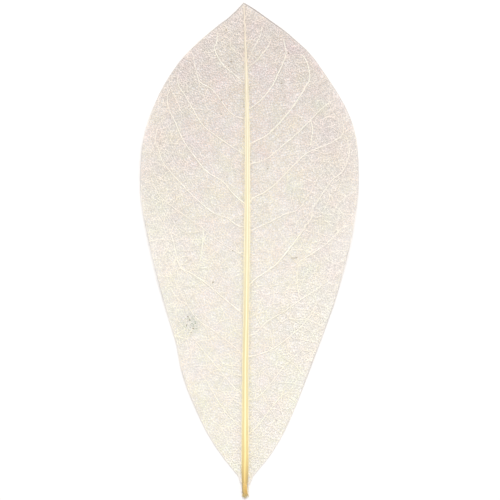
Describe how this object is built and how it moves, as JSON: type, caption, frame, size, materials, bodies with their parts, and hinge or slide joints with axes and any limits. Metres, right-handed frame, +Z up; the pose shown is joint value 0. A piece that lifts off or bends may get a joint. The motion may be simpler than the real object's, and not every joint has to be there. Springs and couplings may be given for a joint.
{
  "type": "skeleton leaf",
  "caption": "Bleached skeleton leaf: a broad pointed leaf cleaned to its vein network, with a raised midrib, side veins, fine net and short cut stalk, lying flat.",
  "frame": {"origin": "middle of the leaf's length and width, at the level of the flat underside it rests on", "axes": "+Y along the midrib towards the tip, +Z up out of the face with the raised midrib, +X towards the right margin seen from above"},
  "size_m": [0.066, 0.15, 0.0019],
  "materials": {
    "vein_fibre": "matt bleached plant fibre, golden along the midrib and stalk"
  },
  "bodies": {
    "root": {"leaf": "vein_fibre"}
  },
  "joints": []
}
